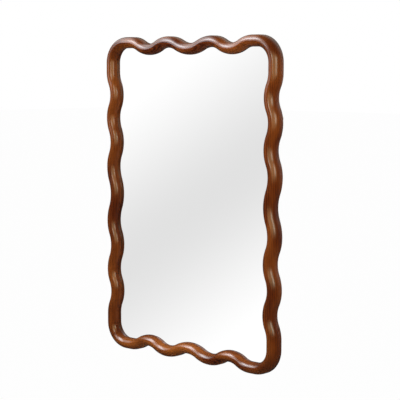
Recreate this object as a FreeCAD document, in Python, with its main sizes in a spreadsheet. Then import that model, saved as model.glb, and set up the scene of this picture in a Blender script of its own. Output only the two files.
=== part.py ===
import FreeCAD, Part
import math
import os
import Sketcher
from collections import namedtuple

# Wall mirror with a solid-wood frame that waves in its own plane on all four sides.
# Millimetres, +Z up, front towards -Y. The wall is the plane Y = 0, and the origin lies on it
# behind the middle of the glass. The frame stands off the wall by its rubber bumpers.
#
# The frame's centre line is drawn once for a quarter of the mirror. Crests are where the line
# lies furthest out and troughs where it lies furthest in. From crest to trough it follows two
# tangent arcs of equal radius, and past the last crest a short straight lead and the corner arc.
# The pane and the backing board follow the same line, each at its own inset from it. The
# frame's depth is the sum of what lies in it: the board's recess, the board, the foam tape, the
# glass, a short straight flank ahead of the glass, and the rounded nose.

SIZES = (
    ("overall_width", "700", "outer width of the frame, over its side crests"),
    ("overall_height", "1000", "outer height of the frame, over its top and bottom crests"),
    ("face_width", "35", "width of the frame seen from the front"),
    ("nose_depth", "24", "depth of the rounded nose, ahead of the straight flanks"),
    ("lip_flank", "0.7", "straight inner flank between the glass and the nose"),
    ("edge_ease", "1.5", "chamfer on the outer back edge"),
    ("stile_wave", "16", "height of a side wave, trough to crest"),
    ("rail_wave", "22", "height of a top or bottom wave, trough to crest"),
    ("corner_radius", "64", "radius of the corner, on the centre line"),
    ("stile_lead", "28", "straight run from the last side crest to the corner arc"),
    ("rail_lead", "20", "straight run from the last top crest to the corner arc"),
    ("stile_inner_share", "0.225", "first side crest, as a share of the last one's height"),
    ("stile_outer_share", "0.627", "second side crest, as a share of the last one's height"),
    ("rail_inner_share", "0.36", "first top crest, as a share of the last one's distance"),
    ("glass_thickness", "4", "silvered glass"),
    ("foam_thickness", "0.8", "foam tape between glass and board"),
    ("board_thickness", "9", "fibreboard that backs the glass"),
    ("board_recess", "3.5", "board ahead of the back of the frame"),
    ("glass_lip", "7", "wood in front of the glass, from the frame's inner edge"),
    ("board_lip", "9", "wood shoulder that the board is screwed to"),
    ("glass_play", "0.9", "gap round the pane in its rebate"),
    ("board_play", "0.5", "gap round the board in its rebate"),
    ("foam_width", "25", "width of a strip of foam tape"),
    ("foam_length", "760", "length of a strip of foam tape"),
    ("foam_pitch", "140", "distance between strips of foam tape"),
    ("dowel_diameter", "8", "beech dowel across a mitre"),
    ("dowel_length", "40", "beech dowel, end to end"),
    ("dowel_chamfer", "1", "chamfer on a dowel's ends"),
    ("dowel_play", "0.05", "glue gap round a dowel"),
    ("dowel_end_gap", "0.5", "room past each end of a dowel"),
    ("dowel_back_share", "0.44", "rear dowel of a mitre, as a share of the frame's depth"),
    ("dowel_front_share", "0.74", "front dowel of a mitre, as a share of the frame's depth"),
    ("dowel_shift", "1.5", "dowels lie this far inside the centre line at the mitre"),
    ("board_screw_length", "25", "countersunk screw, over its head"),
    ("board_screw_diameter", "3", "shank of a board screw"),
    ("board_screw_head", "6", "head diameter of a board screw"),
    ("board_screw_edge", "4.5", "board screw to the edge of the board"),
    ("hole_play", "0.2", "gap round a screw's shank and head in the board"),
    ("pilot_play", "0.05", "gap round a screw's shank in the wood"),
    ("pilot_extra", "1", "pilot hole past the tip of its screw"),
    ("screw_tip", "3", "pointed end of every screw"),
    ("recess_width", "0.8", "width of one arm of a screw's cross recess"),
    ("recess_length", "3.2", "length of one arm of a screw's cross recess"),
    ("recess_depth", "0.9", "depth of a screw's cross recess"),
    ("strap_width", "11", "steel hanger strap"),
    ("strap_thickness", "1.2", "steel of the hanger strap and of its rolled eye"),
    ("strap_first_hole", "7.5", "eye to the first strap screw"),
    ("strap_hole_pitch", "18.5", "first strap screw to the second"),
    ("strap_hole_diameter", "3.6", "screw hole in the strap"),
    ("hanger_offset", "5", "hanger outside the centre line's crest"),
    ("hanger_rise", "10", "eye of the hanger above the second side crest"),
    ("hanger_screw_length", "14", "pan-head screw, under its head"),
    ("hanger_screw_diameter", "3.2", "shank of a hanger screw"),
    ("hanger_screw_head", "6.4", "head diameter of a hanger screw"),
    ("hanger_head_height", "1.8", "head height of a hanger screw"),
    ("hanger_head_round", "1", "rounding of a hanger screw's head"),
    ("ring_wire", "2.2", "wire diameter of a hanging ring"),
    ("ring_width", "18", "hanging ring, between the middles of its legs"),
    ("ring_bend", "3", "bend between a ring's bar and its leg"),
    ("ring_leg", "2", "straight leg of a ring"),
    ("ring_play", "0.1", "running gap of a ring's bar in its eye"),
    ("ring_rest_gap", "0.3", "ring to the wood that it leans against"),
    ("bumper_diameter", "12", "rubber bumper, at the frame"),
    ("bumper_taper", "1.6", "bumper is this much smaller across at the wall"),
    ("bumper_height", "6", "rubber bumper, frame to wall"),
    ("bumper_offset", "6", "bumper outside the centre line's crest"),
    ("overrun", "1", "how far a cutting shape runs past what it cuts"),
)

doc = FreeCAD.newDocument("wavy_mirror")
sheet = doc.addObject("Spreadsheet::Sheet", "sizes")
for row, (alias, number, meaning) in enumerate(SIZES, 1):
    sheet.set(f"A{row}", meaning)
    sheet.set(f"B{row}", number)
    sheet.setAlias(f"B{row}", alias)
doc.recompute()


def value(expression):
    """Number that an expression in the sheet's sizes gives."""
    return float(sheet.evalExpression(expression))


def plus(*terms):
    """Sum of expressions, each kept in its own brackets."""
    return " + ".join(f"({term})" for term in terms)


def minus(first, *others):
    """First expression less the others."""
    return f"({first})" + "".join(f" - ({other})" for other in others)


def share(part, whole):
    """Share of an expression."""
    return f"({part}) * ({whole})"


# Places on the centre line, as expressions in the sheet's sizes.
HALF_FACE = "sizes.face_width / 2"
CREST_X = "(sizes.overall_width - sizes.face_width) / 2"
CREST_Z = "(sizes.overall_height - sizes.face_width) / 2"
CORNER_X = minus(CREST_X, "sizes.corner_radius")
CORNER_Z = minus(CREST_Z, "sizes.corner_radius")
LAST_STILE_CREST = minus(CORNER_Z, "sizes.stile_lead")
LAST_RAIL_CREST = minus(CORNER_X, "sizes.rail_lead")
STILE_STATIONS = (
    ("0", False),
    (share("sizes.stile_inner_share", LAST_STILE_CREST), True),
    (share("(sizes.stile_inner_share + sizes.stile_outer_share) / 2", LAST_STILE_CREST), False),
    (share("sizes.stile_outer_share", LAST_STILE_CREST), True),
    (share("(sizes.stile_outer_share + 1) / 2", LAST_STILE_CREST), False),
    (LAST_STILE_CREST, True),
)
RAIL_STATIONS = (
    ("0", False),
    (share("sizes.rail_inner_share", LAST_RAIL_CREST), True),
    (share("(sizes.rail_inner_share + 1) / 2", LAST_RAIL_CREST), False),
    (LAST_RAIL_CREST, True),
)

# Insets from the centre line towards the middle of the mirror, and depths from the frame's back.
GLASS_REBATE = minus(HALF_FACE, "sizes.glass_lip")
BOARD_REBATE = minus(GLASS_REBATE, "sizes.board_lip")
PANE_INSET = plus(GLASS_REBATE, "sizes.glass_play")
BOARD_INSET = plus(BOARD_REBATE, "sizes.board_play")
BOARD_SCREW_INSET = plus(BOARD_INSET, "sizes.board_screw_edge")
BOARD_FACE = "sizes.board_recess + sizes.board_thickness"
GLASS_BACK = plus(BOARD_FACE, "sizes.foam_thickness")
GLASS_FACE = plus(GLASS_BACK, "sizes.glass_thickness")
FLANK_DEPTH = plus(GLASS_FACE, "sizes.lip_flank")
FRAME_DEPTH = plus(FLANK_DEPTH, "sizes.nose_depth")
FRAME_BACK = "-sizes.bumper_height"
BOARD_BACK = minus(FRAME_BACK, "sizes.board_recess")

# The ring turns in the strap's rolled eye, which lies on the frame's back.
EYE_BORE = "sizes.ring_wire / 2 + sizes.ring_play"
EYE_OUTER = plus(EYE_BORE, "sizes.strap_thickness")
EYE_Z = plus(share("sizes.stile_outer_share", LAST_STILE_CREST), "sizes.hanger_rise")
HANGER_X = plus(CREST_X, "sizes.hanger_offset")


def origin_plane(body, role):
    """Plane of a body's own origin."""
    return next(f for f in body.Origin.OriginFeatures if f.Role == role)


def put(item, x="0", y="0", z="0", axis=None, degrees=0.0):
    """Places an object, with its place tied to the sizes."""
    if axis is not None:
        item.Placement = FreeCAD.Placement(FreeCAD.Vector(), FreeCAD.Rotation(axis, degrees))
    for letter, expression in (("x", x), ("y", y), ("z", z)):
        item.setExpression(f".Placement.Base.{letter}", expression)
    return item


class Outline:
    """Lines and arcs of one sketch on a body's origin plane, all tied to the sizes."""

    def __init__(self, body, name, plane, lift=None):
        self.sketch = body.newObject("Sketcher::SketchObject", name)
        self.sketch.AttachmentSupport = [(origin_plane(body, plane), "")]
        self.sketch.MapMode = "FlatFace"
        if lift is not None:
            self.sketch.setExpression(".AttachmentOffset.Base.z", lift)
        self.pieces = []
        self.ties = []
        self.rules = {}
        self.guides = []

    def add(self, piece):
        self.pieces.append(piece)
        return len(self.pieces) - 1

    def tie(self, *words):
        self.ties.append(Sketcher.Constraint(*words))

    def size(self, expression, *words):
        """Ties a measure to an expression."""
        self.rules[len(self.ties)] = expression
        self.tie(*words, value(expression))

    def place(self, piece, end, x, y):
        """Ties an end of a piece to a point of the plane."""
        for kind, axis, expression in (("DistanceX", -2, x), ("DistanceY", -1, y)):
            if expression == "0":
                self.tie("PointOnObject", piece, end, axis)
            elif expression is not None:
                self.size(expression, kind, -1, 1, piece, end)

    def line(self, start, end):
        """Line between two points that are given as expressions, not tied yet."""
        a, b = (FreeCAD.Vector(value(x), value(y), 0) for x, y in (start, end))
        return self.add(Part.LineSegment(a, b))

    def arc(self, centre, radius, low, high):
        """Arc about a point that is given as expressions, not tied yet."""
        middle = FreeCAD.Vector(value(centre[0]), value(centre[1]), 0)
        circle = Part.Circle(middle, FreeCAD.Vector(0, 0, 1), radius)
        return self.add(Part.ArcOfCircle(circle, math.radians(low), math.radians(high)))

    def circle(self, centre, radius):
        """Whole circle, tied."""
        middle = FreeCAD.Vector(value(centre[0]), value(centre[1]), 0)
        piece = self.add(Part.Circle(middle, FreeCAD.Vector(0, 0, 1), value(radius)))
        self.place(piece, 3, *centre)
        self.size(radius, "Radius", piece)

    def chain(self, corners, closed=True):
        """Straight lines from corner to corner, tied, and back to the first if closed."""
        ends = list(zip(corners, corners[1:]))
        if closed:
            ends.append((corners[-1], corners[0]))
        pieces = [self.line(start, end) for start, end in ends]
        for piece, (start, _) in zip(pieces, ends):
            self.place(piece, 1, *start)
        for piece, following in zip(pieces, pieces[1:]):
            self.tie("Coincident", piece, 2, following, 1)
        if closed:
            self.tie("Coincident", pieces[-1], 2, pieces[0], 1)
        else:
            self.place(pieces[-1], 2, *ends[-1][1])
        return pieces

    def draw(self):
        self.sketch.addGeometry(self.pieces, False)
        for piece in self.guides:
            self.sketch.setConstruction(piece, True)
        self.sketch.addConstraint(self.ties)
        for number, expression in self.rules.items():
            self.sketch.setExpression(f"Constraints[{number}]", expression)
        return self.sketch


# One arc of a wave. Its tip is its end on a crest or in a trough, and its joint the other end.
HalfWave = namedtuple("HalfWave", "piece tip joint tip_place radius")


def draw_waves(outline, upright, inset):
    """Arcs of a side's waves, from the mirror's middle to the last crest. Returns the first and
    the last point, each as a piece and its end. Upright waves run up a side, the others along
    the top."""
    stations = STILE_STATIONS if upright else RAIL_STATIONS
    wave = "sizes.stile_wave" if upright else "sizes.rail_wave"
    crest = CREST_X if upright else CREST_Z
    trough = minus(crest, wave)
    first = None
    last = None
    for (start, start_crest), (end, end_crest) in zip(stations, stations[1:]):
        run = minus(end, start)
        radius = f"(({run})^2 + {wave}^2) / (4 * {wave})"
        turn = math.degrees(2 * math.atan(value(wave) / value(run)))
        halves = []
        for along, is_crest, ahead in ((start, start_crest, 1), (end, end_crest, -1)):
            # A crest's arc is centred inside the frame's line, and a trough's outside it.
            reach = minus(radius, inset) if is_crest else plus(radius, inset)
            across = minus(crest, radius) if is_crest else plus(trough, radius)
            tip = minus(crest if is_crest else trough, inset)
            centre = (across, along) if upright else (along, across)
            tip_place = (tip, along) if upright else (along, tip)
            facing = (0 if is_crest else 180) if upright else (90 if is_crest else 270)
            other = facing + ahead * (turn if is_crest == upright else -turn)
            piece = outline.arc(centre, value(reach), min(facing, other), max(facing, other))
            ends = (1, 2) if facing < other else (2, 1)
            halves.append(HalfWave(piece, *ends, tip_place, reach))
        near, far = halves
        if last is None:
            outline.place(near.piece, near.tip, *near.tip_place)
            first = (near.piece, near.tip)
        else:
            outline.tie("Coincident", near.piece, near.tip, *last)
        outline.place(far.piece, far.tip, *far.tip_place)
        for half in halves:
            level = "Horizontal" if upright else "Vertical"
            outline.tie(level, half.piece, 3, half.piece, half.tip)
        outline.tie("Tangent", near.piece, near.joint, far.piece, far.joint)
        outline.size(near.radius, "Radius", near.piece)
        last = (far.piece, far.tip)
    return first, last


def draw_lead(outline, upright, inset, last):
    """Straight run from the last crest to the corner arc. Returns its far end."""
    crest = minus(CREST_X if upright else CREST_Z, inset)
    along = (LAST_STILE_CREST, CORNER_Z) if upright else (LAST_RAIL_CREST, CORNER_X)
    points = [(crest, place) if upright else (place, crest) for place in along]
    piece = outline.line(*points)
    outline.tie("Coincident", piece, 1, *last)
    outline.place(piece, 2, *points[1])
    return piece, 2


def draw_half_corner(outline, upright, lead):
    """Eighth of a circle on the centre line, from a lead to the mitre."""
    low, high = (0, 45) if upright else (45, 90)
    piece = outline.arc((CORNER_X, CORNER_Z), value("sizes.corner_radius"), low, high)
    near, mitre = (1, 2) if upright else (2, 1)
    outline.tie("Coincident", piece, near, *lead)
    outline.place(piece, 3, CORNER_X, CORNER_Z)
    across = "sizes.corner_radius / sqrt(2)"
    if upright:
        outline.place(piece, mitre, plus(CORNER_X, across), None)
    else:
        outline.place(piece, mitre, None, plus(CORNER_Z, across))


def draw_section(body, upright):
    """The frame's cross-section where the centre line starts, in the middle of a side. Its
    rebates are open to the back, the glass rebate ahead of the wider one for the board."""
    crest = CREST_X if upright else CREST_Z
    wave = "sizes.stile_wave" if upright else "sizes.rail_wave"
    line = minus(crest, wave)
    shoulder = minus("0", FLANK_DEPTH)
    corners = [
        (plus(line, HALF_FACE), shoulder),
        (plus(line, HALF_FACE), "-sizes.edge_ease"),
        (minus(plus(line, HALF_FACE), "sizes.edge_ease"), "0"),
        (minus(line, BOARD_REBATE), "0"),
        (minus(line, BOARD_REBATE), minus("0", BOARD_FACE)),
        (minus(line, GLASS_REBATE), minus("0", BOARD_FACE)),
        (minus(line, GLASS_REBATE), minus("0", GLASS_FACE)),
        (minus(line, HALF_FACE), minus("0", GLASS_FACE)),
        (minus(line, HALF_FACE), shoulder),
    ]
    if not upright:
        corners = [(depth, across) for across, depth in corners]
    outline = Outline(body, body.Name + "_section", "XY_Plane" if upright else "YZ_Plane")
    flanks = outline.chain(corners, closed=False)
    draw_nose(outline, upright, (line, shoulder), flanks[0], flanks[-1])
    return outline.draw()


def draw_nose(outline, upright, middle, outer_flank, inner_flank):
    """Half ellipse between the flanks. Its length is the nose's depth and its width the face."""
    place = middle if upright else middle[::-1]
    centre = FreeCAD.Vector(value(place[0]), value(place[1]), 0)
    forward = FreeCAD.Vector(0, -1, 0) if upright else FreeCAD.Vector(-1, 0, 0)
    right = FreeCAD.Vector(-forward.y, forward.x, 0)
    tip = forward * value("sizes.nose_depth")
    flank = right * value(HALF_FACE)
    is_deep = tip.Length >= flank.Length
    if is_deep:
        ellipse = Part.Ellipse(centre + tip, centre + flank, centre)
        curve = Part.ArcOfEllipse(ellipse, -math.pi / 2, math.pi / 2)
    else:
        ellipse = Part.Ellipse(centre + flank, centre - tip, centre)
        curve = Part.ArcOfEllipse(ellipse, math.pi, 2 * math.pi)
    piece = outline.add(curve)
    ends = (inner_flank, 2), (outer_flank, 1)
    for end, flank_end in zip((1, 2), ends if upright else ends[::-1]):
        outline.tie("Coincident", piece, end, *flank_end)
    if upright:
        outline.place(piece, 3, None, place[1])
    else:
        outline.place(piece, 3, place[0], None)
    # The ellipse's axes are lines of their own, the long one first.
    long_axis = outline.add(Part.LineSegment(centre - ellipse.XAxis * ellipse.MajorRadius,
                                             centre + ellipse.XAxis * ellipse.MajorRadius))
    short_axis = outline.add(Part.LineSegment(centre - ellipse.YAxis * ellipse.MinorRadius,
                                              centre + ellipse.YAxis * ellipse.MinorRadius))
    outline.tie("InternalAlignment:EllipseMajorDiameter", long_axis, piece)
    outline.tie("InternalAlignment:EllipseMinorDiameter", short_axis, piece)
    outline.guides += [long_axis, short_axis]
    nose_axis = long_axis if is_deep else short_axis
    outline.tie("Vertical" if upright else "Horizontal", nose_axis)
    outline.size("2 * sizes.nose_depth", "Distance", nose_axis)


def sweep(body, section, path):
    """Sweeps a section along a path that starts in the section's plane."""
    pipe = body.newObject("PartDesign::AdditivePipe", body.Name + "_sweep")
    pipe.Profile = section
    pipe.Spine = (path, [f"Edge{number + 1}" for number in range(len(path.Geometry))])
    return pipe


def mirror(body, feature, *roles):
    """Repeats a body's feature on the other side of one or two of its origin planes."""
    copies = []
    for role in roles:
        copy = body.newObject("PartDesign::Mirrored", f"{body.Name}_mirror_{role[:2]}")
        copy.MirrorPlane = (origin_plane(body, role), [""])
        copies.append(copy)
    if len(copies) == 1:
        copies[0].Originals = [feature]
        body.Tip = copies[0]
        return body
    whole = body.newObject("PartDesign::MultiTransform", body.Name + "_mirrors")
    whole.Originals = [feature]
    whole.Transformations = copies
    body.Tip = whole
    return body


def make_member(name, upright):
    """One side of the frame, from mitre to mitre, with no holes yet."""
    body = doc.addObject("PartDesign::Body", name)
    path = Outline(body, name + "_line", "XZ_Plane")
    _, last = draw_waves(path, upright, "0")
    lead = draw_lead(path, upright, "0", last)
    draw_half_corner(path, upright, lead)
    pipe = sweep(body, draw_section(body, upright), path.draw())
    mirror(body, pipe, "XY_Plane" if upright else "YZ_Plane")
    return put(body, y=FRAME_BACK)


def make_panel(name, inset, thickness):
    """Flat panel whose edge follows the frame's line at an inset from it."""
    body = doc.addObject("PartDesign::Body", name)
    outline = Outline(body, name + "_quarter", "XZ_Plane")
    stile_first, stile_last = draw_waves(outline, True, inset)
    rail_first, rail_last = draw_waves(outline, False, inset)
    stile_lead = draw_lead(outline, True, inset, stile_last)
    corner = outline.arc((CORNER_X, CORNER_Z), value(minus("sizes.corner_radius", inset)), 0, 90)
    outline.place(corner, 3, CORNER_X, CORNER_Z)
    outline.tie("Coincident", corner, 1, *stile_lead)
    outline.place(corner, 2, CORNER_X, None)
    crest = minus(CREST_Z, inset)
    rail_lead = outline.line((LAST_RAIL_CREST, crest), (CORNER_X, crest))
    outline.tie("Coincident", rail_lead, 1, *rail_last)
    outline.tie("Coincident", rail_lead, 2, corner, 2)
    stile_trough = minus(CREST_X, "sizes.stile_wave", inset)
    rail_trough = minus(CREST_Z, "sizes.rail_wave", inset)
    for point, first in (((stile_trough, "0"), stile_first), (("0", rail_trough), rail_first)):
        cut = outline.line(("0", "0"), point)
        outline.tie("Coincident", cut, 1, -1, 1)
        outline.tie("Coincident", cut, 2, *first)
    pad = body.newObject("PartDesign::Pad", name + "_pad")
    pad.Profile = outline.draw()
    pad.setExpression("Length", thickness)
    return mirror(body, pad, "XY_Plane", "YZ_Plane")


def make_turned(name, corners):
    """Solid turned about its own Z axis, from corners that are radius and height."""
    body = doc.addObject("PartDesign::Body", name)
    outline = Outline(body, name + "_outline", "XZ_Plane")
    outline.chain(corners)
    turn = body.newObject("PartDesign::Revolution", name + "_turn")
    turn.Profile = outline.draw()
    turn.ReferenceAxis = (turn.Profile[0], ["V_Axis"])
    return body


def make_group(name, pattern, places):
    """One object that holds a copy of a pattern at each place."""
    copies = []
    for number, place in enumerate(places, 1):
        copy = doc.addObject("App::Link", f"{name}_{number}")
        copy.LinkedObject = pattern
        copies.append(put(copy, **place))
    return gather(name, copies)


def gather(name, items):
    """One object that holds several others."""
    whole = doc.addObject("Part::Compound", name)
    whole.Links = items
    return whole


def cut_away(name, base, tool):
    """What is left of a base object once a tool's shape is taken from it."""
    left = doc.addObject("Part::Cut", name)
    left.Base = base
    left.Tool = tool
    return left


def make_opposite(name, source, normal):
    """The piece on the other side of the mirror."""
    twin = doc.addObject("Part::Mirroring", name)
    twin.Source = source
    twin.Normal = normal
    return twin


def cut_cross_recess(name, screw, top):
    """Cuts a cross recess into the top of a screw's head."""
    arms = []
    for number, turned in enumerate((False, True), 1):
        arm = doc.addObject("Part::Box", f"{name}_recess_arm_{number}")
        across, along = ("Width", "Length") if turned else ("Length", "Width")
        arm.setExpression(across, "sizes.recess_width")
        arm.setExpression(along, "sizes.recess_length")
        arm.setExpression("Height", plus("sizes.recess_depth", "sizes.overrun"))
        width, length = "-sizes.recess_width / 2", "-sizes.recess_length / 2"
        x, y = (length, width) if turned else (width, length)
        arms.append(put(arm, x, y, minus(top, "sizes.recess_depth")))
    return cut_away(name, screw, gather(name + "_recess", arms))


def both_signs(expression):
    """An expression and its negative."""
    return expression, minus("0", expression)


def on_all_sides(x, z):
    """A place repeated in the four quarters of the mirror."""
    return [(side, level) for side in both_signs(x) for level in both_signs(z)]


def facing_wall(x, z, y=FRAME_BACK):
    """Place of a turned piece whose own Z axis points to the wall, along +Y."""
    return {"x": x, "y": y, "z": z, "axis": FreeCAD.Vector(1, 0, 0), "degrees": -90.0}


# A screw sits on every crest, in the shoulder of the board's rebate.
SCREW_X = minus(CREST_X, BOARD_SCREW_INSET)
SCREW_Z = minus(CREST_Z, BOARD_SCREW_INSET)
STILE_SCREWS = [(SCREW_X, along) for along, is_crest in STILE_STATIONS if is_crest]
RAIL_SCREWS = [(along, SCREW_Z) for along, is_crest in RAIL_STATIONS if is_crest]


def all_board_screws():
    """Places of the board's screws in all four quarters, their heads flush with the board."""
    quarter = STILE_SCREWS + RAIL_SCREWS
    return [facing_wall(x, z, BOARD_BACK) for place in quarter for x, z in on_all_sides(*place)]


def make_board_screws():
    """Countersunk screws that hold the board, flush with it."""
    head = "sizes.board_screw_head / 2"
    shank = "sizes.board_screw_diameter / 2"
    corners = (
        ("0", "0"),
        (head, "0"),
        (shank, minus(shank, head)),
        (shank, minus("sizes.screw_tip", "sizes.board_screw_length")),
        ("0", "-sizes.board_screw_length"),
    )
    screw = cut_cross_recess("board_screw", make_turned("board_screw_blank", corners), "0")
    return make_group("backing_screws", screw, all_board_screws())


def make_board():
    """Fibreboard back with a countersunk hole for every screw, with play all round the screw."""
    head = "sizes.board_screw_head / 2 + sizes.hole_play"
    shank = "sizes.board_screw_diameter / 2 + sizes.hole_play"
    through = minus("-sizes.board_thickness", "sizes.overrun")
    corners = (
        ("0", "sizes.overrun"),
        (plus(head, "sizes.overrun"), "sizes.overrun"),
        (shank, minus(shank, head)),
        (shank, through),
        ("0", through),
    )
    holes = make_group("board_holes", make_turned("board_hole", corners), all_board_screws())
    blank = make_panel("board_blank", BOARD_INSET, "sizes.board_thickness")
    return cut_away("backing_board", put(blank, y=BOARD_BACK), holes)


def make_pane():
    """Silvered glass in the glass rebate, its face against the wood lip."""
    back = minus(FRAME_BACK, GLASS_BACK)
    return put(make_panel("mirror_pane", PANE_INSET, "sizes.glass_thickness"), y=back)


FOAM_STRIPS = 4


def make_foam_strips():
    """Upright strips of foam tape that hold the pane to the board."""
    strips = []
    for number in range(FOAM_STRIPS):
        strip = doc.addObject("Part::Box", f"foam_strip_{number + 1}")
        strip.setExpression("Length", "sizes.foam_width")
        strip.setExpression("Width", "sizes.foam_thickness")
        strip.setExpression("Height", "sizes.foam_length")
        middle = share(number - (FOAM_STRIPS - 1) / 2, "sizes.foam_pitch")
        strips.append(put(strip, minus(middle, "sizes.foam_width / 2"),
                          minus(FRAME_BACK, GLASS_BACK), "-sizes.foam_length / 2"))
    return gather("foam_strips", strips)


def dowel_places(corners):
    """Two dowels, one ahead of the other, square across the mitre of each corner. A corner is
    the signs of its X and Z."""
    out = "(sizes.corner_radius - sizes.dowel_shift) / sqrt(2)"
    places = []
    for x_sign, z_sign in corners:
        for depth_share in ("sizes.dowel_back_share", "sizes.dowel_front_share"):
            places.append({
                "x": share(x_sign, plus(CORNER_X, out)),
                "y": minus(FRAME_BACK, share(depth_share, FRAME_DEPTH)),
                "z": share(z_sign, plus(CORNER_Z, out)),
                "axis": FreeCAD.Vector(0, 1, 0),
                "degrees": -45.0 * x_sign * z_sign,
            })
    return places


ALL_CORNERS = ((1, 1), (1, -1), (-1, 1), (-1, -1))


def make_dowels():
    """Beech dowels with chamfered ends."""
    radius = "sizes.dowel_diameter / 2"
    end = "sizes.dowel_length / 2"
    eased = minus(radius, "sizes.dowel_chamfer")
    shoulder = minus(end, "sizes.dowel_chamfer")
    corners = (
        ("0", minus("0", end)),
        (eased, minus("0", end)),
        (radius, minus("0", shoulder)),
        (radius, shoulder),
        (eased, end),
        ("0", end),
    )
    return make_group("corner_dowels", make_turned("dowel", corners), dowel_places(ALL_CORNERS))


def make_bore(name, diameter, play, low, high):
    """Cutting shape for a round hole along its own Z, with play round what goes in."""
    radius = plus(f"{diameter} / 2", play)
    return make_turned(name, (("0", low), (radius, low), (radius, high), ("0", high)))


def hanger_screw_heights():
    """Heights of the two screws below a hanger's eye."""
    first = minus(EYE_Z, "sizes.strap_first_hole")
    return first, minus(first, "sizes.strap_hole_pitch")


def make_frame():
    """Four wooden members with their dowel bores and pilot holes."""
    half_bore = plus("sizes.dowel_length / 2", "sizes.dowel_end_gap")
    dowel_bore = make_bore("dowel_bore", "sizes.dowel_diameter", "sizes.dowel_play",
                           minus("0", half_bore), half_bore)
    board_pilot = make_bore("board_pilot", "sizes.board_screw_diameter", "sizes.pilot_play",
                            "-sizes.board_screw_length - sizes.pilot_extra", "0")
    hanger_pilot = make_bore("hanger_pilot", "sizes.hanger_screw_diameter", "sizes.pilot_play",
                             "-sizes.hanger_screw_length - sizes.pilot_extra", "sizes.overrun")
    stile_screws = [
        facing_wall(x, level, BOARD_BACK) for x, z in STILE_SCREWS for level in both_signs(z)]
    rail_screws = [
        facing_wall(side, z, BOARD_BACK) for x, z in RAIL_SCREWS for side in both_signs(x)]
    hanger_screws = [facing_wall(HANGER_X, z) for z in hanger_screw_heights()]
    stile_holes = gather("stile_holes", [
        make_group("stile_dowel_bores", dowel_bore, dowel_places(((1, 1), (1, -1)))),
        make_group("stile_board_pilots", board_pilot, stile_screws),
        make_group("stile_hanger_pilots", hanger_pilot, hanger_screws),
    ])
    rail_holes = gather("rail_holes", [
        make_group("rail_dowel_bores", dowel_bore, dowel_places(((1, 1), (-1, 1)))),
        make_group("rail_board_pilots", board_pilot, rail_screws),
    ])
    right = cut_away("right_stile", make_member("stile_blank", True), stile_holes)
    top = cut_away("top_rail", make_member("rail_blank", False), rail_holes)
    left = make_opposite("left_stile", right, FreeCAD.Vector(1, 0, 0))
    bottom = make_opposite("bottom_rail", top, FreeCAD.Vector(0, 0, 1))
    return [right, left, top, bottom]


def make_strap(name, x):
    """Steel strap with two screw holes and a rolled eye. Its own origin is the eye's axis, and
    the frame's back lies the eye's outer radius ahead of it."""
    body = doc.addObject("PartDesign::Body", name)
    half = "sizes.strap_width / 2"
    first = "sizes.strap_first_hole"
    last = plus(first, "sizes.strap_hole_pitch")
    outer_face = minus(EYE_OUTER, "sizes.strap_thickness")
    outline = Outline(body, name + "_plan", "XZ_Plane", lift=outer_face)
    corners = (
        (minus("0", half), minus("0", last)),
        (minus("0", half), "0"),
        (half, "0"),
        (half, minus("0", last)),
    )
    edges = outline.chain(corners, closed=False)
    end = outline.arc(("0", minus("0", last)), value(half), 180, 360)
    outline.tie("Coincident", end, 1, edges[0], 1)
    outline.tie("Coincident", end, 2, edges[-1], 2)
    outline.place(end, 3, None, minus("0", last))
    for hole in (first, last):
        outline.circle(("0", minus("0", hole)), "sizes.strap_hole_diameter / 2")
    plate = body.newObject("PartDesign::Pad", name + "_plate")
    plate.Profile = outline.draw()
    plate.setExpression("Length", "sizes.strap_thickness")
    roll = Outline(body, name + "_roll", "YZ_Plane")
    roll.circle(("0", "0"), EYE_OUTER)
    roll.circle(("0", "0"), EYE_BORE)
    eye = body.newObject("PartDesign::Pad", name + "_eye")
    eye.Profile = roll.draw()
    eye.Midplane = True
    eye.setExpression("Length", "sizes.strap_width")
    return put(body, x, plus(FRAME_BACK, EYE_OUTER), EYE_Z)


def make_ring(name, x):
    """D-shaped wire ring with its bar in the strap's eye. It stands up and leans back until it
    all but rests on the wood, as it does when the mirror hangs."""
    body = doc.addObject("PartDesign::Body", name)
    leg_x = "sizes.ring_width / 2"
    bar_end = minus(leg_x, "sizes.ring_bend")
    leg_top = plus("sizes.ring_bend", "sizes.ring_leg")
    path = Outline(body, name + "_line", "XZ_Plane")
    bar = path.line(("0", "0"), (bar_end, "0"))
    path.tie("Coincident", bar, 1, -1, 1)
    path.place(bar, 2, bar_end, "0")
    bend = path.arc((bar_end, "sizes.ring_bend"), value("sizes.ring_bend"), 270, 360)
    path.place(bend, 3, bar_end, "sizes.ring_bend")
    path.tie("Coincident", bend, 1, bar, 2)
    path.place(bend, 2, None, "sizes.ring_bend")
    leg = path.line((leg_x, "sizes.ring_bend"), (leg_x, leg_top))
    path.tie("Coincident", leg, 1, bend, 2)
    path.place(leg, 2, leg_x, leg_top)
    bow = path.arc(("0", leg_top), value(leg_x), 0, 90)
    path.place(bow, 3, "0", leg_top)
    path.tie("Coincident", bow, 1, leg, 2)
    path.place(bow, 2, "0", None)
    section = Outline(body, name + "_section", "YZ_Plane")
    section.circle(("0", "0"), "sizes.ring_wire / 2")
    mirror(body, sweep(body, section.draw(), path.draw()), "YZ_Plane")
    reach = value(minus(EYE_OUTER, "sizes.ring_wire / 2", "sizes.ring_rest_gap"))
    lean = math.degrees(math.asin(reach / value(plus(leg_x, leg_top))))
    print(f"{name}: leans {lean:.2f} degrees towards the wood")
    return put(body, x, plus(FRAME_BACK, EYE_OUTER), EYE_Z, FreeCAD.Vector(1, 0, 0), lean)


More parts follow.
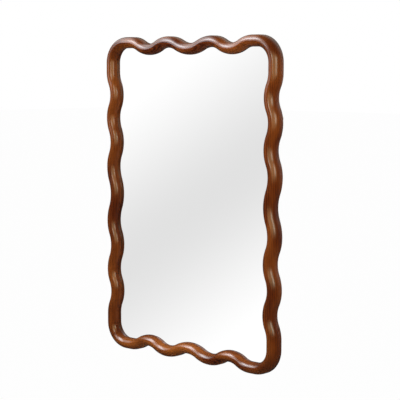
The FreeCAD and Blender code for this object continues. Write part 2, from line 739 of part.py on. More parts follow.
def make_hanger_screw():
    """Pan-head screw, with its head's underside at zero height."""
    head = "sizes.hanger_screw_head / 2"
    top = "sizes.hanger_head_height"
    shank = "sizes.hanger_screw_diameter / 2"
    corners = (
        ("0", top),
        (head, top),
        (head, "0"),
        (shank, "0"),
        (shank, minus("sizes.screw_tip", "sizes.hanger_screw_length")),
        ("0", "-sizes.hanger_screw_length"),
    )
    body = make_turned("hanger_screw_blank", corners)
    doc.recompute()
    turned = body.Tip
    highest = turned.Shape.BoundBox.ZMax
    rims = [
        f"Edge{number}" for number, edge in enumerate(turned.Shape.Edges, 1)
        if isinstance(edge.Curve, Part.Circle) and edge.BoundBox.ZMin > highest - edge.Tolerance]
    fillet = body.newObject("PartDesign::Fillet", "hanger_screw_rounding")
    fillet.Base = (turned, rims)
    fillet.setExpression("Radius", "sizes.hanger_head_round")
    return cut_cross_recess("hanger_screw", body, top)


def make_hangers():
    """Two hangers high on the stiles, each a strap, a ring and two pan-head screws."""
    sides = both_signs(HANGER_X)
    outside = plus(FRAME_BACK, "sizes.strap_thickness")
    screws = [facing_wall(x, z, outside) for x in sides for z in hanger_screw_heights()]
    pieces = [make_group("hanger_screws", make_hanger_screw(), screws)]
    for side, x in zip(("right", "left"), sides):
        pieces.append(make_strap(f"{side}_hanger_strap", x))
        pieces.append(make_ring(f"{side}_hanger_ring", x))
    return pieces


def make_bumpers():
    """Rubber bumpers on the stiles' straight leads, which keep the frame off the wall."""
    foot = "sizes.bumper_diameter / 2"
    face = minus(foot, "sizes.bumper_taper / 2")
    corners = (("0", "0"), (foot, "0"), (face, "sizes.bumper_height"), ("0", "sizes.bumper_height"))
    side = plus(CREST_X, "sizes.bumper_offset")
    level = plus(LAST_STILE_CREST, "sizes.stile_lead / 2")
    places = [facing_wall(x, z) for x, z in on_all_sides(side, level)]
    return make_group("wall_bumpers", make_turned("bumper", corners), places)


def write_parts(parts):
    """Checks every object and sub-part, then writes one STEP file for each sub-part."""
    for item in doc.Objects:
        if {"Invalid", "Error"} & set(item.State):
            raise RuntimeError(f"{item.Label} failed: {item.State}")
    for part in parts:
        shape = part.Shape
        if shape.isNull() or not shape.isValid() or not shape.Solids:
            raise RuntimeError(f"{part.Label} has no valid solid")
    os.makedirs("parts", exist_ok=True)
    for part in parts:
        part.Shape.exportStep(os.path.join("parts", part.Label + ".step"))
        box = part.Shape.BoundBox
        print(f"{part.Label}: {len(part.Shape.Solids)} solids, {part.Shape.Volume:.0f} mm3, "
              f"{box.XLength:.1f} x {box.YLength:.1f} x {box.ZLength:.1f} mm")


parts = [
    *make_frame(),
    make_dowels(),
    make_pane(),
    make_foam_strips(),
    make_board(),
    make_board_screws(),
    *make_hangers(),
    make_bumpers(),
]
doc.recompute()
write_parts(parts)
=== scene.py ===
import math

import bmesh
import bpy
from mathutils import Matrix, Vector


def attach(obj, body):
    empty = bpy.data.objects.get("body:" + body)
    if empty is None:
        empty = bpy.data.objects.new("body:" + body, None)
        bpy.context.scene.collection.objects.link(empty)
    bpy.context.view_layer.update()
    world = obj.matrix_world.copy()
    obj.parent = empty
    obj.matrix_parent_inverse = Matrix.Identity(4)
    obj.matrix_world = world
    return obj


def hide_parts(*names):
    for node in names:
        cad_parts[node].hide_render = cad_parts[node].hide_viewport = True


# Wavy wall mirror: a silvered pane in a lacquered wooden frame that waves along all four sides.
# Metres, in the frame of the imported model. The wall is the plane Y = 0 and the glass faces -Y.

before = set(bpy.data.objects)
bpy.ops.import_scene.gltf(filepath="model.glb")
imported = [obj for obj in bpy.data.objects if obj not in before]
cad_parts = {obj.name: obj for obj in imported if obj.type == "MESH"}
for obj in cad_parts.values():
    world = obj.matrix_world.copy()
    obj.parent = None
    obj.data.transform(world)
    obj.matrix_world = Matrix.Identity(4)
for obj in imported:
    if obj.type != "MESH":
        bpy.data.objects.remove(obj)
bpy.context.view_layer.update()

MM = 0.001

# The frame's own sizes, in millimetres. The wood is drawn round a centre line, whose crests lie
# this far from the middle of the mirror, and whose troughs lie a wave's height nearer.
HALF_FACE = 35.0 / 2
CREST_X = 332.5
CREST_Z = 482.5
STILE_WAVE = 16.0
RAIL_WAVE = 22.0

# Each side ends in a straight run from its last crest to the arc of the corner.
CORNER_RADIUS = 64.0
CORNER_X = CREST_X - CORNER_RADIUS
CORNER_Z = CREST_Z - CORNER_RADIUS
STILE_RUN = 28.0
RAIL_RUN = 20.0
LAST_STILE_CREST = CORNER_Z - STILE_RUN
LAST_RAIL_CREST = CORNER_X - RAIL_RUN
STILE_CRESTS = tuple(share * LAST_STILE_CREST for share in (0.225, 0.627, 1.0))
RAIL_CRESTS = tuple(share * LAST_RAIL_CREST for share in (0.36, 1.0))

# Depths are given as Y, which is negative in front of the wall. The board lies in a rebate behind
# the glass, with foam tape between the two. The wood's flanks run straight forward from its back,
# and from there its nose rounds off. The lips are the steps of the rebate, behind which the glass
# and then the board lie, and the ease takes off the outer edge of the back.
BOARD_INSET = 3.5
BOARD_THICKNESS = 9.0
FOAM_THICKNESS = 0.8
GLASS_THICKNESS = 4.0
FLANK = 18.0
NOSE_DEPTH = 24.0
BACK = -6.0
BOARD_FACE = BACK - BOARD_INSET - BOARD_THICKNESS
GLASS_FACE = BOARD_FACE - FOAM_THICKNESS - GLASS_THICKNESS
NOSE_ROOT = BACK - FLANK
GLASS_LIP = 7.0
BOARD_LIP = 9.0
EASE = 1.5

NOSE_STEPS = 44
WAVE_STEPS = 8
CORNER_STEPS = 14

# Points nearer than a weld are one point, in metres. A face is flat where its normal points this
# much straight back or forward.
WELD = 0.000002
CAD_WELD = 0.0000005
SHARP_EDGE = math.radians(35)
FLAT = 0.9999

FASTENERS = ("corner_dowels", "backing_screws", "hanger_screws")


def linear(code):
    """Linear colour of an sRGB hex value."""
    parts = [int(code[n:n + 2], 16) / 255 for n in (1, 3, 5)]
    return [p / 12.92 if p <= 0.04045 else ((p + 0.055) / 1.055) ** 2.4 for p in parts] + [1.0]


def add(tree, kind, inputs=(), **settings):
    """Adds a node. An input is a value, or another node's output to link to."""
    node = tree.nodes.new(kind)
    for name, setting in settings.items():
        setattr(node, name, setting)
    for socket, given in dict(inputs).items():
        if isinstance(given, bpy.types.NodeSocket):
            tree.links.new(given, node.inputs[socket])
        else:
            node.inputs[socket].default_value = given
    return node


def start_material(name, **sockets):
    """New material, with what is the same all over it set on the shader's own sockets. Returns
    the material, its tree and its shader."""
    material = bpy.data.materials.new(name)
    material.use_nodes = True
    shader = material.node_tree.nodes["Principled BSDF"]
    for socket, setting in sockets.items():
        shader.inputs[socket.replace("_", " ")].default_value = setting
    return material, material.node_tree, shader


def lacquered_walnut(name, turn, pith, golden):
    """Reddish walnut, sawn from a board, shaped, stained and sprayed with gloss lacquer. Growth
    rings run along the member and show as long flames where the waves cut through them. Each
    member has its own share of golden clouds, the rails more than the stiles."""
    # Below the clear lacquer the stained fibres have a golden sheen of their own.
    material, tree, shader = start_material(
        name, Coat_Weight=1.0, Coat_Roughness=0.14, Coat_IOR=1.65, Specular_IOR_Level=0.15,
        Specular_Tint=linear("#F0B070"))
    dark, mid, light = linear("#441606"), linear("#7F3A10"), linear("#AC6226")
    place = add(tree, "ShaderNodeTexCoord").outputs["Object"]
    board = add(tree, "ShaderNodeMapping", {"Vector": place, "Rotation": turn, "Location": pith})
    # Growth rings 5 mm apart. At a scale of one they would be a twentieth of 2 pi metres apart.
    rings = add(tree, "ShaderNodeTexWave", {
        "Vector": board.outputs[0], "Scale": 2 * math.pi / 20 / (5 * MM), "Distortion": 3.0,
        "Detail": 2.0, "Detail Scale": 0.12, "Detail Roughness": 0.55},
        wave_type="RINGS", rings_direction="Z")
    # Fibres 1.5 mm wide and fifty times as long. Real pores are finer, too fine to show.
    fibre_place = add(tree, "ShaderNodeMapping", {
        "Vector": board.outputs[0], "Scale": (1, 1, 1 / 50)})
    fibres = add(tree, "ShaderNodeTexNoise", {
        "Vector": fibre_place.outputs[0], "Scale": 1 / (1.5 * MM), "Detail": 4.0,
        "Roughness": 0.6})
    # Broad stain clouds, 60 mm across and drawn out along the grain.
    cloud_place = add(tree, "ShaderNodeMapping", {
        "Vector": board.outputs[0], "Scale": (1, 1, 0.3)})
    clouds = add(tree, "ShaderNodeTexNoise", {
        "Vector": cloud_place.outputs[0], "Scale": 1 / (60 * MM), "Detail": 2.0,
        "Roughness": 0.5})
    ringed = add(tree, "ShaderNodeMix", {
        "Factor": rings.outputs["Fac"], "A": mid, "B": dark}, data_type="RGBA")
    stain = add(tree, "ShaderNodeMapRange", {
        "Value": clouds.outputs["Fac"], "From Min": 0.35, "From Max": 0.65, "To Max": golden})
    stained = add(tree, "ShaderNodeMix", {
        "Factor": stain.outputs[0], "A": ringed.outputs["Result"], "B": light}, data_type="RGBA")
    shade = add(tree, "ShaderNodeMapRange", {
        "Value": clouds.outputs["Fac"], "From Min": 0.52, "From Max": 0.36, "To Max": 0.3})
    # Painted shade: round the frame's four corners the colour is mixed further towards the dark
    # stain. That starts 0.25 m to the side and 0.4 m up or down from the middle of the mirror.
    distances = add(tree, "ShaderNodeVectorMath", {0: place}, operation="ABSOLUTE")
    sides = add(tree, "ShaderNodeSeparateXYZ", {0: distances.outputs[0]})
    across = add(tree, "ShaderNodeMapRange", {
        "Value": sides.outputs["X"], "From Min": 0.25, "From Max": 0.32},
        interpolation_type="SMOOTHSTEP")
    up = add(tree, "ShaderNodeMapRange", {
        "Value": sides.outputs["Z"], "From Min": 0.4, "From Max": 0.47},
        interpolation_type="SMOOTHSTEP")
    corner = add(tree, "ShaderNodeMath", {0: across.outputs[0], 1: up.outputs[0]},
                 operation="MULTIPLY")
    corner_shade = add(tree, "ShaderNodeMapRange", {
        "Value": corner.outputs[0], "To Min": shade.outputs[0], "To Max": 0.55})
    shaded = add(tree, "ShaderNodeMix", {
        "Factor": corner_shade.outputs[0], "A": stained.outputs["Result"], "B": dark}, data_type="RGBA")
    thread = add(tree, "ShaderNodeMapRange", {
        "Value": fibres.outputs["Fac"], "From Min": 0.45, "From Max": 0.75, "To Max": 0.3})
    grain = add(tree, "ShaderNodeMix", {
        "Factor": thread.outputs[0], "A": shaded.outputs["Result"], "B": dark}, data_type="RGBA")
    tree.links.new(grain.outputs["Result"], shader.inputs["Base Color"])
    rough = add(tree, "ShaderNodeMapRange", {
        "Value": fibres.outputs["Fac"], "To Min": 0.36, "To Max": 0.46})
    tree.links.new(rough.outputs[0], shader.inputs["Roughness"])
    # The lacquer fills the pores, so the relief is only a few hundredths of a millimetre.
    relief = add(tree, "ShaderNodeBump", {
        "Height": fibres.outputs["Fac"], "Strength": 0.25, "Distance": 0.05 * MM})
    tree.links.new(relief.outputs[0], shader.inputs["Normal"])
    return material


def draw_section(bm, line):
    """The member's closed cross-section, with its centre line this far from the middle."""
    root = Vector((line, NOSE_ROOT, 0)) * MM
    outer = bm.verts.new(root + Vector((HALF_FACE, 0, 0)) * MM)
    bmesh.ops.spin(bm, geom=[outer], cent=root, axis=(0, 0, 1), angle=-math.pi, steps=NOSE_STEPS)
    bm.verts.ensure_lookup_table()
    stretch = Matrix.Diagonal((1, NOSE_DEPTH / HALF_FACE, 1, 1))
    bmesh.ops.transform(bm, matrix=stretch, space=Matrix.Translation(-root), verts=bm.verts)
    inner = min(bm.verts, key=lambda v: v.co.x)
    glass_rebate = line - HALF_FACE + GLASS_LIP
    board_rebate = glass_rebate + BOARD_LIP
    outline = (
        (line - HALF_FACE, GLASS_FACE),
        (glass_rebate, GLASS_FACE),
        (glass_rebate, BOARD_FACE),
        (board_rebate, BOARD_FACE),
        (board_rebate, BACK),
        (line + HALF_FACE - EASE, BACK),
        (line + HALF_FACE, BACK - EASE),
    )
    last = inner
    for x, y in outline:
        corner = bm.verts.new(Vector((x, y, 0)) * MM)
        bm.edges.new((last, corner))
        last = corner
    bm.edges.new((last, outer))


def only(kind, parts):
    """The vertices, edges or faces among a bmesh operator's parts."""
    return [part for part in parts if isinstance(part, kind)]


def sweep_member(bm, crest, wave, crests, corner):
    """Sweeps the section from the middle of a side along its waves to the mitre. Each half wave is
    two arcs that meet half way, the first bent one way and the second the other."""
    trough = crest - wave
    last = list(bm.verts) + list(bm.edges)

    def turn(centre, along, degrees, steps):
        nonlocal last
        made = bmesh.ops.spin(bm, geom=last, cent=Vector((centre, 0, along)) * MM,
                              axis=(0, -1, 0), angle=math.radians(degrees), steps=steps)
        last = made["geom_last"]

    # How far along the side each trough and crest lies, and whether it is a crest.
    stations = [(0.0, False)]
    for here, following in zip(crests, crests[1:] + (None,)):
        stations.append((here, True))
        if following is not None:
            stations.append(((here + following) / 2, False))
    for (start, start_crest), (end, _) in zip(stations, stations[1:]):
        run = end - start
        radius = (run ** 2 + wave ** 2) / (4 * wave)
        bend = math.degrees(2 * math.atan(wave / run))
        inside, outside = crest - radius, trough + radius
        first, second = (inside, outside) if start_crest else (outside, inside)
        sense = 1 if start_crest else -1
        turn(first, start, sense * bend, WAVE_STEPS)
        turn(second, end, -sense * bend, WAVE_STEPS)
    lead = bmesh.ops.extrude_edge_only(bm, edges=only(bmesh.types.BMEdge, last))["geom"]
    points = only(bmesh.types.BMVert, lead)
    last = points + only(bmesh.types.BMEdge, lead)
    bmesh.ops.translate(bm, verts=points, vec=Vector((0, 0, corner - crests[-1])) * MM)
    turn(crest - CORNER_RADIUS, corner, 45, CORNER_STEPS)
    bmesh.ops.contextual_create(bm, geom=only(bmesh.types.BMEdge, last))


def make_blank(name, bm, material):
    """A member as shaped but not yet bored: makes it an object, with its normals outwards."""
    bmesh.ops.remove_doubles(bm, verts=bm.verts, dist=WELD)
    bmesh.ops.recalc_face_normals(bm, faces=bm.faces)
    mesh = bpy.data.meshes.new(name)
    bm.to_mesh(mesh)
    bm.free()
    mesh.shade_smooth()
    mesh.materials.append(material)
    piece = bpy.data.objects.new(name, mesh)
    bpy.context.scene.collection.objects.link(piece)
    return piece


def fastener_copies():
    """Copies of the dowels and screws that go into the wood, their loose triangles merged."""
    copies = []
    for node in FASTENERS:
        bm = bmesh.new()
        bm.from_mesh(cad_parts[node].data)
        bmesh.ops.remove_doubles(bm, verts=bm.verts, dist=CAD_WELD)
        mesh = bpy.data.meshes.new(node + "_cutter")
        bm.to_mesh(mesh)
        bm.free()
        copy = bpy.data.objects.new(node + "_cutter", mesh)
        bpy.context.scene.collection.objects.link(copy)
        copies.append(copy)
    return copies


def cut_bores(piece, cutters):
    """Bores for the dowels and screws, so that each sits in a hole of its own."""
    for cutter in cutters:
        bore = piece.modifiers.new("bores", "BOOLEAN")
        bore.operation = "DIFFERENCE"
        bore.solver = "EXACT"
        bore.object = cutter
    blank = piece.data
    evaluated = piece.evaluated_get(bpy.context.evaluated_depsgraph_get())
    bored = bpy.data.meshes.new_from_object(evaluated)
    piece.modifiers.clear()
    piece.data = bored
    bpy.data.meshes.remove(blank)
    bored.name = piece.name


def make_member(name, node, upright, flip, material, cutters):
    """One wooden member of the frame, mitre to mitre. A flip puts it on the left or at the foot."""
    bm = bmesh.new()
    if upright:
        draw_section(bm, CREST_X - STILE_WAVE)
        sweep_member(bm, CREST_X, STILE_WAVE, STILE_CRESTS, CORNER_Z)
    else:
        draw_section(bm, CREST_Z - RAIL_WAVE)
        sweep_member(bm, CREST_Z, RAIL_WAVE, RAIL_CRESTS, CORNER_X)
    half = bm.verts[:] + bm.edges[:] + bm.faces[:]
    bmesh.ops.mirror(bm, geom=half, merge_dist=WELD, axis="Z")
    if not upright:
        lay_down = Matrix(((0, 0, 1, 0), (0, 1, 0, 0), (1, 0, 0, 0), (0, 0, 0, 1)))
        bm.transform(lay_down)
    if flip:
        bm.transform(Matrix.Diagonal((-1, 1, 1, 1) if upright else (1, 1, -1, 1)))
    piece = make_blank(name, bm, material)
    cut_bores(piece, cutters)
    piece.data.set_sharp_from_angle(angle=SHARP_EDGE)
    for face in piece.data.polygons:
        # The back and the rebates are flat, also round the holes that are cut in them.
        face.use_smooth = abs(face.normal.y) < FLAT
    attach(piece, "root")
    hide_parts(node)


# Each member's piece and CAD node, whether it is upright, whether it is flipped, how its board is
# turned, where the board's pith lies and how golden its clouds are.
ALONG_X = (0, math.pi / 2, 0)
UPRIGHT = (0, 0, 0)
MEMBERS = (
    ("right_stile_wood", "right_stile", True, False, UPRIGHT, (-0.31, 0.06, 0.3), 0.5),
    ("left_stile_wood", "left_stile", True, True, UPRIGHT, (0.35, 0.075, -0.6), 0.45),
    ("top_rail_wood", "top_rail", False, False, ALONG_X, (-0.45, 0.07, 0.9), 0.65),
    ("bottom_rail_wood", "bottom_rail", False, True, ALONG_X, (0.49, 0.055, 1.7), 0.8),
)
fasteners = fastener_copies()
for name, node, upright, flip, turn, pith, golden in MEMBERS:
    wood = lacquered_walnut("lacquered_walnut_" + node, turn, pith, golden)
    make_member(name, node, upright, flip, wood, fasteners)
for fastener in fasteners:
    bpy.data.meshes.remove(fastener.data)


def silvered_glass():
    """Float glass, silvered and painted on its back: a clear, even reflection."""
    return start_material(
        "silvered_glass", Metallic=1.0, Roughness=0.015, Base_Color=linear("#F6F6F6"))[0]


def fibreboard():
    """Medium density fibreboard, sanded: a dull brown felt of wood fibres, faintly clouded."""
    material, tree, shader = start_material(
        "fibreboard", Specular_IOR_Level=0.2, Roughness=0.75)
    place = add(tree, "ShaderNodeTexCoord").outputs["Object"]
    # Tufts of fibre 2 mm across, coarser than real ones so that they show.
    felt = add(tree, "ShaderNodeTexNoise", {
        "Vector": place, "Scale": 1 / (2 * MM), "Detail": 6.0, "Roughness": 0.75})
    # Clouds 120 mm across, where the mat of fibres was laid thicker or thinner.
    clouds = add(tree, "ShaderNodeTexNoise", {
        "Vector": place, "Scale": 1 / (120 * MM), "Detail": 3.0, "Roughness": 0.5})
    fine = add(tree, "ShaderNodeMix", {
        "Factor": felt.outputs["Fac"], "A": linear("#BC9A70"), "B": linear("#9C7A53")},
        data_type="RGBA")
    broad = add(tree, "ShaderNodeMapRange", {
        "Value": clouds.outputs["Fac"], "From Min": 0.38, "From Max": 0.62, "To Max": 0.8})
    colour = add(tree, "ShaderNodeMix", {
        "Factor": broad.outputs[0], "A": fine.outputs["Result"], "B": linear("#9A7850")},
        data_type="RGBA")
    tree.links.new(colour.outputs["Result"], shader.inputs["Base Color"])
    relief = add(tree, "ShaderNodeBump", {
        "Height": felt.outputs["Fac"], "Strength": 0.4, "Distance": 0.1 * MM})
    tree.links.new(relief.outputs[0], shader.inputs["Normal"])
    return material


def zinc_steel():
    """Steel with a bright zinc plating, slightly spangled and dulled by handling."""
    material, tree, shader = start_material("zinc_steel", Metallic=1.0)
    place = add(tree, "ShaderNodeTexCoord").outputs["Object"]
    # Spangles 3 mm across.
    spangle = add(tree, "ShaderNodeTexNoise", {
        "Vector": place, "Scale": 1 / (3 * MM), "Detail": 3.0, "Roughness": 0.6})
    colour = add(tree, "ShaderNodeMix", {
        "Factor": spangle.outputs["Fac"], "A": linear("#C4C6C6"), "B": linear("#A9ABA8")},
        data_type="RGBA")
    tree.links.new(colour.outputs["Result"], shader.inputs["Base Color"])
    rough = add(tree, "ShaderNodeMapRange", {
        "Value": spangle.outputs["Fac"], "To Min": 0.22, "To Max": 0.42})
    tree.links.new(rough.outputs[0], shader.inputs["Roughness"])
    return material


def moulded_rubber():
    """Black rubber from a mould: dull, with a fine spark texture."""
    material, tree, shader = start_material(
        "moulded_rubber", Specular_IOR_Level=0.4, Roughness=0.6)
    place = add(tree, "ShaderNodeTexCoord").outputs["Object"]
    # Pits 0.8 mm across, coarser than real ones so that they show.
    spark = add(tree, "ShaderNodeTexNoise", {
        "Vector": place, "Scale": 1 / (0.8 * MM), "Detail": 2.0, "Roughness": 0.5})
    colour = add(tree, "ShaderNodeMix", {
        "Factor": spark.outputs["Fac"], "A": linear("#1B1B1C"), "B": linear("#29292A")},
        data_type="RGBA")
    tree.links.new(colour.outputs["Result"], shader.inputs["Base Color"])
    relief = add(tree, "ShaderNodeBump", {
        "Height": spark.outputs["Fac"], "Strength": 0.3, "Distance": 0.1 * MM})
    tree.links.new(relief.outputs[0], shader.inputs["Normal"])
    return material


def foam_tape():
    """White polyethylene foam: matt, with small closed cells."""
    material, tree, shader = start_material("foam_tape", Specular_IOR_Level=0.2, Roughness=0.8)
    place = add(tree, "ShaderNodeTexCoord").outputs["Object"]
    # Cells 1.2 mm across.
    cells = add(tree, "ShaderNodeTexVoronoi", {"Vector": place, "Scale": 1 / (1.2 * MM)})
    colour = add(tree, "ShaderNodeMix", {
        "Factor": cells.outputs["Distance"], "A": linear("#F1F0EC"), "B": linear("#DAD9D3")},
        data_type="RGBA")
    tree.links.new(colour.outputs["Result"], shader.inputs["Base Color"])
    relief = add(tree, "ShaderNodeBump", {
        "Height": cells.outputs["Distance"], "Strength": 0.4, "Distance": 0.3 * MM})
    tree.links.new(relief.outputs[0], shader.inputs["Normal"])
    return material


def bare_beech():
    """Turned beech dowel, unfinished: pale, with small darker flecks."""
    material, tree, shader = start_material("bare_beech", Specular_IOR_Level=0.3, Roughness=0.65)
    place = add(tree, "ShaderNodeTexCoord").outputs["Object"]
    # Flecks 1.5 mm across.
    flecks = add(tree, "ShaderNodeTexNoise", {
        "Vector": place, "Scale": 1 / (1.5 * MM), "Detail": 3.0, "Roughness": 0.6})
    colour = add(tree, "ShaderNodeMix", {
        "Factor": flecks.outputs["Fac"], "A": linear("#DDBE93"), "B": linear("#C39C6C")},
        data_type="RGBA")
    tree.links.new(colour.outputs["Result"], shader.inputs["Base Color"])
    return material


# The CAD's own pieces get their materials.
steel = zinc_steel()
for node, material in (
        ("mirror_pane", silvered_glass()),
        ("backing_board", fibreboard()),
        ("foam_strips", foam_tape()),
        ("corner_dowels", bare_beech()),
        ("wall_bumpers", moulded_rubber()),
        ("backing_screws", steel),
        ("hanger_screws", steel),
        ("left_hanger_strap", steel),
        ("right_hanger_strap", steel),
        ("left_hanger_ring", steel),
        ("right_hanger_ring", steel)):
    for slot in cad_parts[node].material_slots:
        slot.material = material


# The studio. Bearings are azimuth and elevation in degrees, seen from the mirror.
FLOOR_HEIGHT = -1.3
FLOOR_GREY = (0.5, 0.5, 0.5, 1.0)
FLOOR_WHITE_SHARE = 0.985
COVE_RADIUS = 20.0
WHITE = (1.0, 1.0, 1.0, 1.0)

# A soft fold runs round the cove through two bearings. Its reach is the sine of an angle.
COVE_FOLDS = (
    ((-45.1, -8.4), (-39.8, -4.4)),
    ((-4.0, -4.0), (4.0, 4.0)),
    ((-4.0, -24.0), (4.0, -16.0)),
    ((40.0, -20.0), (50.0, -10.0)),
    ((40.0, -40.0), (50.0, -30.0)),
)
FOLD_REACH = 0.135
FOLD_LEVEL = 0.79
COVE_LEVEL = 1.08

# Glossy Depth is 1 in a first reflection and 2 in a second, such as the pane's in the lacquer.
SECOND_REFLECTION = 1.5
DARK_LEVEL = 0.03
FAINT_SHARE = 0.1

# The world's fill rises from dim to lit between these Y values of a direction.
FILL_START = 0.8
FILL_END = 0.97
DIM_FILL = 0.05
LIT_WALL = 3.0

# From its middle a softbox is even out to the first share of its width, and dark at the second.
EVEN_PART = 0.1
RIM = 0.5

GLASS_AND_METAL = ("mirror_pane", "left_hanger_strap", "right_hanger_strap", "left_hanger_ring",
                   "right_hanger_ring", "hanger_screws", "backing_screws")

# Name, azimuth, elevation, distance in metres, width and height in degrees, radiance and tint.
DAYLIGHT = (0.84, 0.91, 1.0)
SOFTBOXES = (
    ("key_softbox", -44, 46, 2.7, 38, 42, 7.4, DAYLIGHT),
    ("key_foot", -46, 22, 2.0, 36, 28, 3.6, DAYLIGHT),
    ("key_edge", -27, 11, 2.2, 18, 18, 2.2, DAYLIGHT),
    ("key_corner", -17, 28, 2.4, 20, 18, 5.0, DAYLIGHT),
    ("key_spill", -54, 48, 3.2, 110, 66, 2.0, (1.0, 1.0, 1.0)),
    ("right_window", 27, 23, 1.9, 22, 34, 3.4, (1.0, 0.97, 0.85)),
    ("side_window", 86, 15, 3.0, 28, 34, 2.6, (0.95, 0.97, 0.85)),
    ("backdrop_sheet", -165, 25, 2.5, 84, 96, 0.27, (1.0, 0.95, 0.85)),
    ("warm_wall", 60, 17, 1.9, 108, 60, 1.6, (1.0, 0.74, 0.36)),
)


def bearing(azimuth, elevation):
    """Direction from the mirror. Azimuth 0 is straight ahead of the glass and 90 is to +X."""
    a, e = math.radians(azimuth), math.radians(elevation)
    return Vector((math.sin(a) * math.cos(e), -math.cos(a) * math.cos(e), math.sin(e)))


def stage_object(name, bm, material):
    """Puts up a piece of the studio, which isn't part of the mirror."""
    mesh = bpy.data.meshes.new(name)
    bm.to_mesh(mesh)
    bm.free()
    mesh.materials.append(material)
    piece = bpy.data.objects.new(name, mesh)
    bpy.context.scene.collection.objects.link(piece)
    return piece


def make_floor():
    """Pale studio floor. The camera sees it nearly white, with only a hint of the shadow, and
    reflections look through it to the cove."""
    bm = bmesh.new()
    bmesh.ops.create_grid(bm, x_segments=1, y_segments=1, size=2 * COVE_RADIUS)
    bmesh.ops.translate(bm, verts=bm.verts, vec=(0, 0, FLOOR_HEIGHT))
    material, tree, shader = start_material(
        "studio_floor", Roughness=0.9, Specular_IOR_Level=0.1, Base_Color=FLOOR_GREY)
    ray = add(tree, "ShaderNodeLightPath")
    share = add(tree, "ShaderNodeMath", {
        0: ray.outputs["Is Camera Ray"], 1: FLOOR_WHITE_SHARE}, operation="MULTIPLY")
    white = add(tree, "ShaderNodeEmission", {"Color": WHITE, "Strength": 1.0})
    clear = add(tree, "ShaderNodeBsdfTransparent")
    seen = add(tree, "ShaderNodeMixShader", {
        0: share.outputs[0], 1: shader.outputs[0], 2: white.outputs[0]})
    all_rays = add(tree, "ShaderNodeMixShader", {
        0: ray.outputs["Is Glossy Ray"], 1: seen.outputs[0], 2: clear.outputs[0]})
    tree.links.new(all_rays.outputs[0], tree.nodes["Material Output"].inputs["Surface"])
    stage_object("floor", bm, material)


def make_cove():
    """White studio cove that the glass and the metal reflect, with broad, soft grey folds. The
    first lies where the photograph's pane shows it. The others make the glass read as glass from
    in front, from the left and from above, and none of them shows in the photograph's view."""
    bm = bmesh.new()
    bmesh.ops.create_uvsphere(bm, u_segments=48, v_segments=24, radius=COVE_RADIUS)
    material = bpy.data.materials.new("studio_cove")
    material.use_nodes = True
    tree = material.node_tree
    tree.nodes.clear()
    place = add(tree, "ShaderNodeTexCoord").outputs["Object"]
    direction = add(tree, "ShaderNodeVectorMath", {0: place}, operation="NORMALIZE").outputs[0]
    nearest = 1.0
    for start, end in COVE_FOLDS:
        across = bearing(*start).cross(bearing(*end)).normalized()
        off = add(tree, "ShaderNodeVectorMath", {0: direction, 1: across}, operation="DOT_PRODUCT")
        size = add(tree, "ShaderNodeMath", {0: off.outputs["Value"]}, operation="ABSOLUTE")
        nearest = add(tree, "ShaderNodeMath", {0: nearest, 1: size.outputs[0]},
                      operation="MINIMUM").outputs[0]
    fold = add(tree, "ShaderNodeMapRange", {
        "Value": nearest, "From Max": FOLD_REACH, "To Min": FOLD_LEVEL, "To Max": COVE_LEVEL},
        interpolation_type="SMOOTHSTEP")
    # A second reflection, as of the pane in the lacquer, finds the cove much dimmer.
    ray = add(tree, "ShaderNodeLightPath")
    second = add(tree, "ShaderNodeMath", {
        0: ray.outputs["Glossy Depth"], 1: SECOND_REFLECTION}, operation="GREATER_THAN")
    level = add(tree, "ShaderNodeMapRange", {
        "Value": second.outputs[0], "To Min": fold.outputs[0], "To Max": DARK_LEVEL})
    light = add(tree, "ShaderNodeEmission", {"Color": WHITE, "Strength": level.outputs[0]})
    clear = add(tree, "ShaderNodeBsdfTransparent")
    both = add(tree, "ShaderNodeAddShader", {0: light.outputs[0], 1: clear.outputs[0]})
    output = add(tree, "ShaderNodeOutputMaterial")
    tree.links.new(both.outputs[0], output.inputs["Surface"])
    material.cycles.emission_sampling = "NONE"
    cove = stage_object("cove", bm, material)
    cove.visible_camera = False
    cove.visible_diffuse = False
    cove.visible_shadow = False
    glass_and_metal = bpy.data.collections.new("glass_and_metal")
    for node in GLASS_AND_METAL:
        glass_and_metal.objects.link(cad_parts[node])
    cove.light_linking.receiver_collection = glass_and_metal


def make_world():
    """White to the camera and dark in the lacquer, with a dim fill that is strong only on the
    mirror's back, which faces the lit wall of the studio."""
    world = bpy.data.worlds.new("studio")
    bpy.context.scene.world = world
    world.use_nodes = True
    tree = world.node_tree
    tree.nodes.clear()
    ray = add(tree, "ShaderNodeLightPath")
    direction = add(tree, "ShaderNodeTexCoord").outputs["Generated"]
    axes = add(tree, "ShaderNodeSeparateXYZ", {0: direction})
    fill = add(tree, "ShaderNodeMapRange", {
        "Value": axes.outputs["Y"], "From Min": FILL_START, "From Max": FILL_END,
        "To Min": DIM_FILL, "To Max": LIT_WALL})
    soft = add(tree, "ShaderNodeMix", {
        "Factor": ray.outputs["Is Glossy Ray"], "A": fill.outputs[0], "B": DARK_LEVEL},
        data_type="FLOAT")
    level = add(tree, "ShaderNodeMix", {
        "Factor": ray.outputs["Is Camera Ray"], "A": soft.outputs["Result"], "B": 1.0},
        data_type="FLOAT")
    background = add(tree, "ShaderNodeBackground", {
        "Color": WHITE, "Strength": level.outputs["Result"]})
    output = add(tree, "ShaderNodeOutputWorld")
    tree.links.new(background.outputs[0], output.inputs["Surface"])


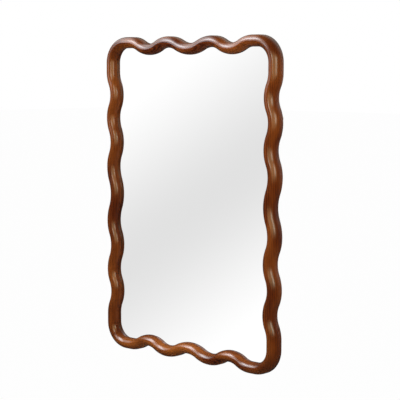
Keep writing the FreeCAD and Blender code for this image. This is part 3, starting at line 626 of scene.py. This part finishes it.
def make_softbox(name, azimuth, elevation, distance, wide, high, radiance, tint, lit):
    """Rectangular softbox that faces the middle of the mirror, as wide and high as it looks from
    there, and fades towards its rim."""
    lamp = bpy.data.lights.new(name, "AREA")
    lamp.shape = "RECTANGLE"
    lamp.color = tint
    lamp.size = 2 * distance * math.tan(math.radians(wide / 2))
    lamp.size_y = 2 * distance * math.tan(math.radians(high / 2))
    lamp.energy = radiance * math.pi * lamp.size * lamp.size_y
    lamp.use_nodes = True
    tree = lamp.node_tree
    place = add(tree, "ShaderNodeNewGeometry").outputs["Parametric"]
    centred = add(tree, "ShaderNodeVectorMath", {0: place, 1: (0.5, 0.5, 0)}, operation="SUBTRACT")
    off = add(tree, "ShaderNodeVectorMath", {0: centred.outputs[0]}, operation="ABSOLUTE")
    sides = add(tree, "ShaderNodeSeparateXYZ", {0: off.outputs[0]})
    across, up = (add(tree, "ShaderNodeMapRange", {
        "Value": sides.outputs[side], "From Min": RIM, "From Max": EVEN_PART},
        interpolation_type="SMOOTHSTEP") for side in "XY")
    fade = add(tree, "ShaderNodeMath", {0: across.outputs[0], 1: up.outputs[0]},
               operation="MULTIPLY")
    # What the pane shows of the lacquer's own reflections is faint.
    ray = add(tree, "ShaderNodeLightPath")
    first = add(tree, "ShaderNodeMath", {
        0: ray.outputs["Glossy Depth"], 1: SECOND_REFLECTION}, operation="LESS_THAN")
    level = add(tree, "ShaderNodeMapRange", {
        "Value": first.outputs[0], "To Min": FAINT_SHARE, "To Max": fade.outputs[0]})
    tree.links.new(level.outputs[0], tree.nodes["Emission"].inputs["Strength"])
    light = bpy.data.objects.new(name, lamp)
    toward = bearing(azimuth, elevation)
    light.location = distance * toward
    light.rotation_euler = toward.to_track_quat("Z", "Y").to_euler()
    bpy.context.scene.collection.objects.link(light)
    light.light_linking.receiver_collection = lit


def make_softboxes():
    """Puts up the softboxes. They light all but the glass, which shows only the cove, so that it
    stays clear in every view."""
    all_but_glass = bpy.data.collections.new("all_but_glass")
    all_but_glass.objects.link(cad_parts["mirror_pane"])
    all_but_glass.collection_objects[0].light_linking.link_state = "EXCLUDE"
    for softbox in SOFTBOXES:
        make_softbox(*softbox, all_but_glass)


make_floor()
make_cove()
make_world()
make_softboxes()


# The camera stands to the right of the mirror and a little above. It was fitted to the outlines
# of the frame in the photograph, also its slight roll. Degrees, metres, and millimetres of lens.
CAMERA_AZIMUTH = 42.044
CAMERA_ELEVATION = 5.729
CAMERA_ROLL = 0.101
CAMERA_TARGET = (0.02649, -0.006, 0.00101)
CAMERA_DISTANCE = 3.97972
LENS = 116.997
SENSOR = 36.0


def make_camera():
    """Aims the camera across the mirror's face, from the photograph's viewing angle."""
    lens = bpy.data.cameras.new("camera")
    lens.lens = LENS
    lens.sensor_width = SENSOR
    camera = bpy.data.objects.new("camera", lens)
    camera.matrix_world = (
        Matrix.Translation(CAMERA_TARGET)
        @ Matrix.Rotation(math.radians(CAMERA_AZIMUTH), 4, "Z")
        @ Matrix.Rotation(math.radians(90 - CAMERA_ELEVATION), 4, "X")
        @ Matrix.Translation((0, 0, CAMERA_DISTANCE))
        @ Matrix.Rotation(math.radians(CAMERA_ROLL), 4, "Z"))
    bpy.context.scene.collection.objects.link(camera)
    bpy.context.scene.camera = camera


make_camera()
bpy.context.scene.view_settings.view_transform = "Standard"
